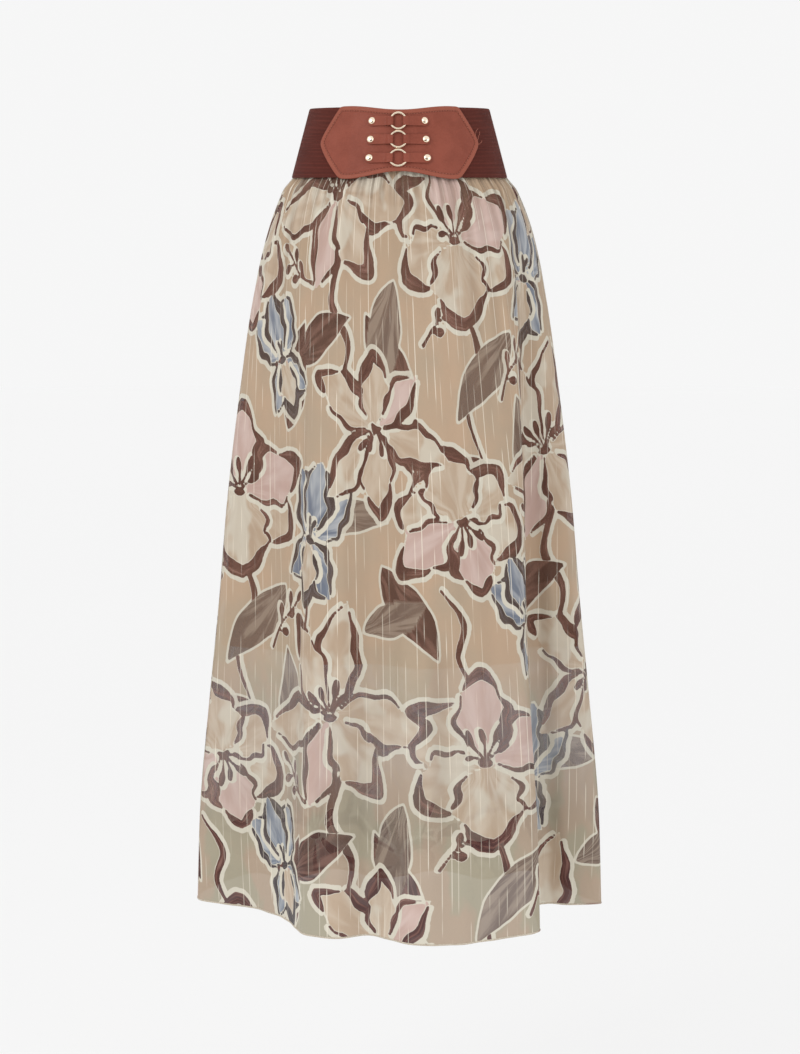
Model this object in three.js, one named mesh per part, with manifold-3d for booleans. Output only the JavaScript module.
// A belted maxi skirt, hollow as it is worn. Printed front and back panels hang from a gathered
// waist casing over a knee-length lining, and a wide elastic belt with a leather front holds the
// waist. Three rings, six straps and six studs dress the leather.
// Millimetres, +Z up, the front faces -Y and +X is the viewer's right. The origin is the centre of
// the waist at half the belt's height.
import * as THREE from "three";
import { mergeVertices } from "three/addons/utils/BufferGeometryUtils.js";
import Module from "manifold-3d";

const wasm = await Module();
wasm.setup();

// What touches keeps this gap.
const GAP = 0.3;

const CLOTH_THICKNESS = 1.4;
const LINING_THICKNESS = 1.2;
const CASING = { top: 31, bottom: -19.7, thickness: 2.0, columns: 60 };

// The belt's outer face is a cone over two ellipses.
const BELT = { top: 41, bottom: -41, thickness: 1.6, columns: 44 };
const BELT_TOP = { halfWidth: 108, halfDepth: 84 };
const BELT_BOTTOM = { halfWidth: 130, halfDepth: 101 };
// Each end of the elastic lies behind the leather, this far round from centre front.
const ELASTIC_END_ARC = 60;

// The leather front, a long hexagon with hollowed top and bottom edges.
const LEATHER = {
  thickness: 2.2,
  columns: 36,
  tipArc: 100,
  tipHalfHeight: 1.5,
  tipRound: 5,
  tipCrowding: 0.45,
  topSlope: 1.68,
  bottomSlope: 1.15,
  middle: 0.4,
  top: 42.3,
  topDip: 4.4,
  topDipArc: 66,
  bottom: -43.1,
  bottomRise: 9.3,
  bottomRiseArc: 62,
  cornerRound: 3.5,
};

// Ring, strap and stud rows on the leather. Arcs are measured from the middle of the rings.
const BUCKLE_ARC = -1.5;
const BUCKLE_HEIGHTS = [24.9, 3.5, -18];
const RING = { radius: 9.3, wire: 2.4, around: 22, section: 7 };
const STRAP = { layer: 0.8, flat: 1.6 };
const STUD = { arc: 32, radius: 4.4, foot: 0.6, height: 2.6, around: 12, domeSteps: 3 };

// The outer cloth at each depth below the origin: half width, and depth to the front and the back.
const SKIRT_ROWS = [
  { down: 0, halfWidth: 116.4, front: 89.6, back: 89.6 },
  { down: 20, halfWidth: 121.2, front: 93.4, back: 93.4 },
  { down: 41, halfWidth: 126, front: 97, back: 97 },
  { down: 45, halfWidth: 129, front: 99.6, back: 99.6 },
  { down: 53, halfWidth: 136, front: 103, back: 103.5 },
  { down: 67, halfWidth: 143.5, front: 107.5, back: 109 },
  { down: 97, halfWidth: 156, front: 113, back: 118 },
  { down: 127, halfWidth: 165, front: 117, back: 124 },
  { down: 187, halfWidth: 178, front: 122, back: 130 },
  { down: 308, halfWidth: 196, front: 136, back: 135 },
  { down: 431, halfWidth: 211, front: 151, back: 139 },
  { down: 555, halfWidth: 222, front: 164, back: 143 },
  { down: 680, halfWidth: 235, front: 178, back: 147 },
  { down: 806, halfWidth: 247, front: 192, back: 150 },
  { down: 933, halfWidth: 252, front: 204, back: 152 },
];

// The lining starts inside the casing and ends at the knee. inset is how far it lies inside the
// middle of the outer cloth.
const LINING_ROWS = [
  { down: 0, inset: 2.4 },
  { down: 15, inset: 1.9 },
  { down: 24, inset: 3.0 },
  { down: 41, inset: 3.6 },
  { down: 56, inset: 4.6 },
  { down: 85, inset: 5.0 },
  { down: 140, inset: 5.5 },
  { down: 225, inset: 6.0 },
  { down: 330, inset: 7.0 },
  { down: 460, inset: 8.0 },
  { down: 612, inset: 9.0 },
];
const LINING_COLUMNS = 30;

// How the hem stands. turn is the angle round the waist, from centre front towards +X, at which
// the same line of cloth leaves the belt. drop is how far that stretch of hem hangs lower.
const HEM_STATIONS = [
  { place: "centre front", turn: 0, x: 2, y: -190, drop: 0 },
  { place: "front right crest", turn: 12, x: 37, y: -204, drop: 0 },
  { place: "front right", turn: 29, x: 91, y: -189, drop: 0 },
  { place: "before the flap", turn: 44, x: 141, y: -163, drop: 0 },
  { place: "flap crest", turn: 51, x: 161, y: -148, drop: 0 },
  { place: "flap edge", turn: 55, x: 169, y: -128, drop: 0 },
  { place: "flap wall, outer", turn: 57.5, x: 167, y: -98, drop: 0 },
  { place: "flap wall, inner", turn: 60, x: 165, y: -62, drop: 0 },
  { place: "flap foot", turn: 63, x: 170, y: -32, drop: 0 },
  { place: "flap valley", turn: 68, x: 183, y: -19, drop: 0 },
  { place: "right side front", turn: 77, x: 210, y: -23, drop: 0 },
  { place: "right side", turn: 90, x: 252, y: -4, drop: 3 },
  { place: "right side back", turn: 101, x: 235, y: 64, drop: 14 },
  { place: "back right crest", turn: 118, x: 178, y: 149, drop: 2 },
  { place: "back right valley", turn: 138, x: 112, y: 104, drop: 0 },
  { place: "back crest", turn: 159, x: 49, y: 146, drop: 0 },
  { place: "back valley", turn: 181, x: -17, y: 107, drop: 0 },
  { place: "back left crest", turn: 203, x: -83, y: 152, drop: 0 },
  { place: "back left valley", turn: 224, x: -141, y: 104, drop: 0 },
  { place: "back left", turn: 242, x: -191, y: 131, drop: 0 },
  { place: "left side back", turn: 257, x: -238, y: 64, drop: 0 },
  { place: "left side", turn: 270, x: -252, y: 4, drop: 0 },
  { place: "left side front", turn: 281, x: -215, y: -21, drop: 0 },
  { place: "left valley", turn: 294, x: -171, y: -46, drop: 0 },
  { place: "left wall", turn: 309, x: -137, y: -95, drop: 0 },
  { place: "left crest", turn: 323, x: -110, y: -160, drop: 0 },
  { place: "front left", turn: 335, x: -75, y: -172, drop: 0 },
  { place: "front dip", turn: 347, x: -37, y: -160, drop: 0 },
];

// Depths at which the outer cloth has a row of points. Below the last gathered row it has half
// as many columns.
const SKIRT_COLUMNS = 96;
const GATHERED_DOWNS = [20, 41, 48, 58, 74, 98];
const SMOOTH_DOWNS = [140, 200, 290, 400, 525, 655, 785, 885, 933];

// Folds grow from the foot of the belt to the hem.
const FOLD_START_DOWN = 45;
const FOLD_POWER = 2.6;
// The drop of the hem fades upwards.
const DROP_POWER = 8;

// Gathers: every second column of the outer cloth stands out and the others stand in.
// unevenStep is the phase by which one gather differs from the next.
const GATHER = {
  hiddenDepth: 0.7,
  depth: 1.4,
  depthSpread: 0.3,
  fullDown: 58,
  reach: 22,
  reachSpread: 34,
  unevenStep: 2.4,
};

const { sin, cos, sqrt, abs, min, max, hypot, exp, PI } = Math;
const radians = (degrees) => (degrees * PI) / 180;
const mix = (a, b, share) => a + (b - a) * share;
const clamp = (value) => min(1, max(0, value));

// A smooth curve through one column of a table, with the slope at each row from its neighbours.
// With a period the table closes on itself.
function curveThrough(rows, key, column, period = 0) {
  const count = rows.length;
  const knot = (i) => rows[((i % count) + count) % count][key] + period * Math.floor(i / count);
  const value = (i) => rows[((i % count) + count) % count][column];
  const rise = (i) => (value(i + 1) - value(i)) / (knot(i + 1) - knot(i));
  function slope(i) {
    if (!period && i === 0) return rise(0);
    if (!period && i === count - 1) return rise(count - 2);
    const before = knot(i) - knot(i - 1);
    const after = knot(i + 1) - knot(i);
    return (rise(i - 1) * after + rise(i) * before) / (before + after);
  }
  return (place) => {
    const x = period ? ((place % period) + period) % period : place;
    let i = 0;
    while (i < count - (period ? 1 : 2) && knot(i + 1) <= x) i++;
    const width = knot(i + 1) - knot(i);
    const t = (x - knot(i)) / width;
    const leave = slope(i) * width;
    const arrive = slope(i + 1) * width;
    return (
      value(i) * (1 + 2 * t) * (1 - t) ** 2 +
      leave * t * (1 - t) ** 2 +
      value(i + 1) * t * t * (3 - 2 * t) +
      arrive * t * t * (t - 1)
    );
  };
}

const hemX = curveThrough(HEM_STATIONS, "turn", "x", 360);
const hemY = curveThrough(HEM_STATIONS, "turn", "y", 360);
const hemDrop = curveThrough(HEM_STATIONS, "turn", "drop", 360);
const HEM = SKIRT_ROWS[SKIRT_ROWS.length - 1];

const halfWidthAt = curveThrough(SKIRT_ROWS, "down", "halfWidth");
const frontAt = curveThrough(SKIRT_ROWS, "down", "front");
const backAt = curveThrough(SKIRT_ROWS, "down", "back");

// The middle of the outer cloth before it is gathered. It is an ellipse at the belt and takes on
// the folds of the hem on its way down.
function skirtTube(turn, down) {
  const fold = 1 - (1 - clamp((down - FOLD_START_DOWN) / (HEM.down - FOLD_START_DOWN))) ** FOLD_POWER;
  const depth = (y) => (y < 0 ? frontAt(down) : backAt(down));
  const roundX = halfWidthAt(down) * sin(radians(turn));
  const roundY = -cos(radians(turn));
  const foldedX = (hemX(turn) * halfWidthAt(down)) / HEM.halfWidth;
  const foldedY = hemY(turn) / (hemY(turn) < 0 ? HEM.front : HEM.back);
  return new THREE.Vector3(
    mix(roundX, foldedX, fold),
    mix(roundY * depth(roundY), foldedY * depth(foldedY), fold),
    -down - hemDrop(turn) * (down / HEM.down) ** DROP_POWER,
  );
}

// The level direction out of the tube, and the level direction along it.
function levelAxes(turn, down) {
  const step = 0.5;
  const ahead = skirtTube(turn + step, down);
  const along = ahead.sub(skirtTube(turn - step, down)).setZ(0).normalize();
  return { along, out: new THREE.Vector3(along.y, -along.x, 0) };
}

// Turns at which a panel has its columns, spread evenly over a mean of its waist and hem lengths.
function columnTurns(from, to, count) {
  const steps = 720;
  const places = Array.from({ length: steps + 1 }, (_, i) => mix(from, to, i / steps));
  const lengths = (down) => {
    const sums = [0];
    for (let i = 1; i <= steps; i++)
      sums.push(sums[i - 1] + skirtTube(places[i], down).distanceTo(skirtTube(places[i - 1], down)));
    return sums.map((sum) => sum / sums[steps]);
  };
  const waist = lengths(-BELT.bottom);
  const hem = lengths(HEM.down);
  const shares = waist.map((share, i) => (share + hem[i]) / 2);
  return Array.from({ length: count + 1 }, (_, column) => {
    let i = 1;
    while (i < steps && shares[i] < column / count) i++;
    const part = (column / count - shares[i - 1]) / (shares[i] - shares[i - 1]);
    return mix(places[i - 1], places[i], clamp(part));
  });
}

// A closed wall from two grids of points, outer(i, j) and inner(i, j), with i going towards +X at
// the front and j going down. columns holds the number of columns of each row: a row has as many
// as the row above it, or half as many. A ring closes on itself and has no sides.
function wall(columns, outer, inner, ring = false) {
  const points = [];
  const faces = [];
  const starts = [];
  const last = columns.length - 1;
  for (const side of [outer, inner])
    columns.forEach((count, j) => {
      starts.push(points.length / 3);
      for (let i = 0; i < count + (ring ? 0 : 1); i++) points.push(...side(i, j).toArray());
    });
  const index = (start, i, j) => start + (ring ? i % columns[j] : i);
  const o = (i, j) => index(starts[j], i, j);
  const n = (i, j) => index(starts[j + last + 1], i, j);
  const quad = (a, b, c, d) => faces.push(a, b, c, a, c, d);
  for (let j = 0; j < last; j++)
    for (let i = 0; i < columns[j + 1]; i++) {
      if (columns[j] === columns[j + 1]) {
        quad(o(i, j), o(i, j + 1), o(i + 1, j + 1), o(i + 1, j));
        quad(n(i, j), n(i + 1, j), n(i + 1, j + 1), n(i, j + 1));
      } else {
        const m = 2 * i + 1;
        faces.push(o(m - 1, j), o(i, j + 1), o(m, j), n(m - 1, j), n(m, j), n(i, j + 1));
        quad(o(m, j), o(i, j + 1), o(i + 1, j + 1), o(m + 1, j));
        quad(n(m, j), n(m + 1, j), n(i + 1, j + 1), n(i, j + 1));
      }
    }
  for (let i = 0; i < columns[0]; i++) quad(o(i, 0), o(i + 1, 0), n(i + 1, 0), n(i, 0));
  for (let i = 0; i < columns[last]; i++) quad(o(i + 1, last), o(i, last), n(i, last), n(i + 1, last));
  for (let j = 0; j < last && !ring; j++) {
    const ends = [columns[j], columns[j + 1]];
    quad(o(0, j + 1), o(0, j), n(0, j), n(0, j + 1));
    quad(o(ends[0], j), o(ends[1], j + 1), n(ends[1], j + 1), n(ends[0], j));
  }
  const geometry = new THREE.BufferGeometry();
  geometry.setAttribute("position", new THREE.Float32BufferAttribute(points, 3));
  geometry.setIndex(faces);
  geometry.computeVertexNormals();
  return geometry;
}

// How far a column of the outer cloth stands out or in. Each pair of columns is one gather, and
// no two neighbours reach equally far down.
function gatherOut(column, down) {
  if (column === 0 || column === SKIRT_COLUMNS) return 0;
  const side = column % 2 ? 1 : -1;
  const uneven = 0.5 + 0.5 * sin(GATHER.unevenStep * Math.floor(column / 2));
  const depth = GATHER.depth * (1 - GATHER.depthSpread * (1 - uneven));
  const shown = clamp((down - GATHERED_DOWNS[0]) / (GATHER.fullDown - GATHERED_DOWNS[0]));
  const reach = GATHER.reach + GATHER.reachSpread * uneven;
  const fade = exp(-((max(0, down - GATHER.fullDown) / reach) ** 2));
  return side * mix(GATHER.hiddenDepth, depth, shown) * fade;
}

// A panel between two turns, with half a seam's gap at each side. rows holds the number of
// columns and the depth of each row, and outAt is how far a point stands out of the tube.
function panel(from, to, rows, thickness, outAt) {
  const finest = rows[0].columns;
  const turns = columnTurns(from, to, finest);
  const point = (i, j, depth) => {
    const { columns, down } = rows[j];
    const column = (i * finest) / columns;
    const { along, out } = levelAxes(turns[column], down);
    const inward = i === 0 ? GAP / 2 : i === columns ? -GAP / 2 : 0;
    return skirtTube(turns[column], down)
      .addScaledVector(out, outAt(column, down) - depth)
      .addScaledVector(along, inward);
  };
  return wall(
    rows.map((row) => row.columns),
    (i, j) => point(i, j, 0),
    (i, j) => point(i, j, thickness),
  );
}

function skirtPanel(from, to) {
  const rows = [
    ...GATHERED_DOWNS.map((down) => ({ down, columns: SKIRT_COLUMNS })),
    ...SMOOTH_DOWNS.map((down) => ({ down, columns: SKIRT_COLUMNS / 2 })),
  ];
  const lastGathered = GATHERED_DOWNS[GATHERED_DOWNS.length - 1];
  const outAt = (column, down) => (down > lastGathered ? 0 : gatherOut(column, down));
  return panel(from, to, rows, CLOTH_THICKNESS, outAt);
}

function liningPanel(from, to) {
  const rows = LINING_ROWS.map(({ down }) => ({ down, columns: LINING_COLUMNS }));
  const insetAt = curveThrough(LINING_ROWS, "down", "inset");
  return panel(from, to, rows, LINING_THICKNESS, (column, down) => -insetAt(down));
}

// The belt's outer ellipse at a height.
function beltSection(z) {
  const share = (BELT.top - z) / (BELT.top - BELT.bottom);
  return {
    halfWidth: mix(BELT_TOP.halfWidth, BELT_BOTTOM.halfWidth, share),
    halfDepth: mix(BELT_TOP.halfDepth, BELT_BOTTOM.halfDepth, share),
  };
}

// A point on the belt at a turn and a height, moved out from its outer face.
function beltAtTurn(turn, z, out) {
  const { halfWidth, halfDepth } = beltSection(z);
  const s = sin(radians(turn));
  const c = cos(radians(turn));
  const length = hypot(s / halfWidth, c / halfDepth);
  return new THREE.Vector3(
    halfWidth * s + (out * s) / halfWidth / length,
    -halfDepth * c - (out * c) / halfDepth / length,
    z,
  );
}

// The turn at a length of arc from centre front, measured at half the belt's height.
const ARC_STEP_TURN = 0.5;
const ARC_SUMS = [0];
for (let turn = ARC_STEP_TURN; turn <= 90; turn += ARC_STEP_TURN) {
  const before = beltAtTurn(turn - ARC_STEP_TURN, 0, 0);
  ARC_SUMS.push(ARC_SUMS[ARC_SUMS.length - 1] + beltAtTurn(turn, 0, 0).distanceTo(before));
}
function turnAtArc(arc) {
  let i = 1;
  while (ARC_SUMS[i] < abs(arc)) i++;
  const part = (abs(arc) - ARC_SUMS[i - 1]) / (ARC_SUMS[i] - ARC_SUMS[i - 1]);
  return Math.sign(arc) * (i - 1 + part) * ARC_STEP_TURN;
}

// A point given flat on the belt's front: arc from centre front, height, and distance out.
const beltAtArc = (arc, z, out) => beltAtTurn(turnAtArc(arc), z, out);

function waistCasing() {
  const outer = -BELT.thickness - 2 * GAP;
  const rows = 2;
  const columns = Array(rows + 1).fill(CASING.columns);
  const point = (out) => (i, j) =>
    beltAtTurn((360 * i) / CASING.columns, mix(CASING.top, CASING.bottom, j / rows), out);
  return wall(columns, point(outer), point(outer - CASING.thickness), true);
}

function elasticBand() {
  const start = turnAtArc(ELASTIC_END_ARC);
  const rows = 2;
  const columns = Array(rows + 1).fill(BELT.columns);
  const point = (out) => (i, j) =>
    beltAtTurn(mix(start, 360 - start, i / BELT.columns), mix(BELT.top, BELT.bottom, j / rows), out);
  return wall(columns, point(0), point(-BELT.thickness));
}

// The lesser of two edges, with their corner rounded off.
const roundedLesser = (a, b, round) => (a + b - sqrt((a - b) ** 2 + round ** 2)) / 2;

// A hollow in an edge: 1 at the middle, 0 beyond the given arc.
const hollow = (arc, reach) => (abs(arc) < reach ? 0.5 + 0.5 * cos((PI * arc) / reach) : 0);

// Height of the leather's top and bottom edges at an arc.
function leatherEdges(arc) {
  const fromTip = max(0, LEATHER.tipArc - abs(arc));
  const slant = sqrt((fromTip + LEATHER.tipRound) ** 2 - LEATHER.tipRound ** 2);
  const topLine = LEATHER.top - LEATHER.topDip * hollow(arc, LEATHER.topDipArc);
  const bottomLine = LEATHER.bottom + LEATHER.bottomRise * hollow(arc, LEATHER.bottomRiseArc);
  const rising = LEATHER.middle + LEATHER.topSlope * slant;
  const falling = LEATHER.middle - LEATHER.bottomSlope * slant;
  const top = roundedLesser(topLine, rising, LEATHER.cornerRound);
  const bottom = -roundedLesser(-bottomLine, -falling, LEATHER.cornerRound);
  return {
    top: max(LEATHER.middle + LEATHER.tipHalfHeight, top),
    bottom: min(LEATHER.middle - LEATHER.tipHalfHeight, bottom),
  };
}

// How far out of the belt's face each layer of the buckle rows lies.
const LEATHER_FACE = GAP + LEATHER.thickness;
const STRAP_FOOT = LEATHER_FACE + GAP;
const RING_OUT = STRAP_FOOT + STRAP.layer + GAP + RING.wire / 2;
const LOOP_TOP = RING_OUT + RING.wire / 2 + GAP + STRAP.layer;
const STRAP_TOP = STRAP_FOOT + STRAP.flat;

function leatherFront() {
  const rows = 2;
  const columns = Array(rows + 1).fill(LEATHER.columns);
  // Columns crowd towards the tips, where the outline turns most.
  const arcs = Array.from({ length: LEATHER.columns + 1 }, (_, i) => {
    const place = (2 * i) / LEATHER.columns - 1;
    return LEATHER.tipArc * mix(place, sin((PI * place) / 2), LEATHER.tipCrowding);
  });
  const point = (out) => (i, j) => {
    const { top, bottom } = leatherEdges(arcs[i]);
    return beltAtArc(arcs[i], mix(top, bottom, j / rows), out);
  };
  return wall(columns, point(LEATHER_FACE), point(GAP));
}

// The strap's cross-section at distances from the middle of the ring: half its height, and how
// far out its under and upper faces lie. It starts at the fold inside the ring and ends round
// the stud.
const STRAP_ROWS = [
  { away: 6.1, halfHeight: 5.0, under: RING_OUT - 1.0, upper: RING_OUT + 1.0 },
  { away: 6.8, halfHeight: 5.2, under: STRAP_FOOT + 0.4, upper: LOOP_TOP - 0.4 },
  { away: 8.2, halfHeight: 5.3, under: STRAP_FOOT, upper: LOOP_TOP },
  { away: 11.6, halfHeight: 5.4, under: STRAP_FOOT, upper: LOOP_TOP },
  { away: 14.5, halfHeight: 5.5, under: STRAP_FOOT, upper: STRAP_TOP + 1.1 },
  { away: 18.5, halfHeight: 5.7, under: STRAP_FOOT, upper: STRAP_TOP },
  { away: 25.5, halfHeight: 5.9, under: STRAP_FOOT, upper: STRAP_TOP },
  { away: 32.5, halfHeight: 6.0, under: STRAP_FOOT, upper: STRAP_TOP },
  { away: 35.2, halfHeight: 5.0, under: STRAP_FOOT, upper: STRAP_TOP },
  { away: 36.8, halfHeight: 3.0, under: STRAP_FOOT, upper: STRAP_TOP },
  { away: 37.3, halfHeight: 1.2, under: STRAP_FOOT, upper: STRAP_TOP },
];

// A manifold solid from a closed geometry, and a geometry from a manifold solid.
function solidFrom(geometry) {
  const bare = geometry.clone();
  bare.deleteAttribute("normal");
  bare.deleteAttribute("uv");
  const merged = mergeVertices(bare, 1e-4);
  return new wasm.Manifold(
    new wasm.Mesh({
      numProp: 3,
      vertProperties: new Float32Array(merged.attributes.position.array),
      triVerts: new Uint32Array(merged.index.array),
    }),
  );
}

function geometryFrom(solid) {
  const mesh = solid.getMesh();
  const geometry = new THREE.BufferGeometry();
  geometry.setAttribute("position", new THREE.BufferAttribute(new Float32Array(mesh.vertProperties), 3));
  geometry.setIndex(new THREE.BufferAttribute(new Uint32Array(mesh.triVerts), 1));
  return geometry;
}

// Lays a geometry that was made flat, with x as arc, y as distance out and z as height, on the belt.
function laidOnBelt(geometry) {
  const position = geometry.getAttribute("position");
  for (let i = 0; i < position.count; i++) {
    const laid = beltAtArc(position.getX(i), position.getZ(i), -position.getY(i));
    position.setXYZ(i, laid.x, laid.y, laid.z);
  }
  geometry.computeVertexNormals();
  return geometry;
}

// A flat ring of wire facing -Y, with its middle at (arc, height).
function flatRing(arc, height, wireRadius) {
  return new THREE.TorusGeometry(RING.radius, wireRadius, RING.section, RING.around)
    .rotateX(PI / 2)
    .translate(arc, -RING_OUT, height);
}

// A leather strap folded round the ring's side. side is 1 on the right and -1 on the left.
function strap(side, height) {
  const columns = [STRAP_ROWS.length - 1, STRAP_ROWS.length - 1];
  const point = (face) => (i, j) => {
    const row = STRAP_ROWS[side > 0 ? i : STRAP_ROWS.length - 1 - i];
    const z = height + row.halfHeight * (j === 0 ? 1 : -1);
    return new THREE.Vector3(BUCKLE_ARC + side * row.away, -row[face], z);
  };
  const whole = wall(columns, point("upper"), point("under"));
  const tunnel = flatRing(BUCKLE_ARC, height, RING.wire / 2 + GAP);
  return laidOnBelt(geometryFrom(solidFrom(whole).subtract(solidFrom(tunnel))));
}

const ringOfWire = (height) => laidOnBelt(flatRing(BUCKLE_ARC, height, RING.wire / 2));

// A domed stud with a short straight foot, facing out of the belt.
function stud(side, height) {
  const profile = [new THREE.Vector2(0, 0), new THREE.Vector2(STUD.radius, 0)];
  for (let i = 0; i <= STUD.domeSteps; i++) {
    const angle = (PI / 2) * (i / STUD.domeSteps);
    const level = mix(STUD.foot, STUD.height, sin(angle));
    profile.push(new THREE.Vector2(i === STUD.domeSteps ? 0 : STUD.radius * cos(angle), level));
  }
  return laidOnBelt(
    new THREE.LatheGeometry(profile, STUD.around)
      .rotateX(PI)
      .translate(BUCKLE_ARC + side * STUD.arc, -(STRAP_TOP + GAP), height),
  );
}

const MATERIALS = {
  chiffon: new THREE.MeshStandardMaterial({ color: 0xbfa58a, roughness: 0.75, metalness: 0 }),
  lining: new THREE.MeshStandardMaterial({ color: 0xb8977a, roughness: 0.8, metalness: 0 }),
  elastic: new THREE.MeshStandardMaterial({ color: 0x5e3530, roughness: 0.8, metalness: 0 }),
  leather: new THREE.MeshStandardMaterial({ color: 0x92503f, roughness: 0.5, metalness: 0 }),
  gold: new THREE.MeshStandardMaterial({ color: 0xe6c79a, roughness: 0.2, metalness: 1 }),
};

const skirt = new THREE.Group();
function add(name, geometry, material) {
  const mesh = new THREE.Mesh(geometry, MATERIALS[material]);
  mesh.name = name;
  skirt.add(mesh);
}

add("skirt_front", skirtPanel(-90, 90), "chiffon");
add("skirt_back", skirtPanel(90, 270), "chiffon");
add("lining_front", liningPanel(-90, 90), "lining");
add("lining_back", liningPanel(90, 270), "lining");
add("waist_casing", waistCasing(), "chiffon");
add("belt_elastic", elasticBand(), "elastic");
add("belt_leather", leatherFront(), "leather");
BUCKLE_HEIGHTS.forEach((height, row) => {
  add(`ring_${row + 1}`, ringOfWire(height), "gold");
  for (const [name, side] of [
    ["left", -1],
    ["right", 1],
  ]) {
    add(`strap_${name}_${row + 1}`, strap(side, height), "leather");
    add(`stud_${name}_${row + 1}`, stud(side, height), "gold");
  }
});

export default skirt;
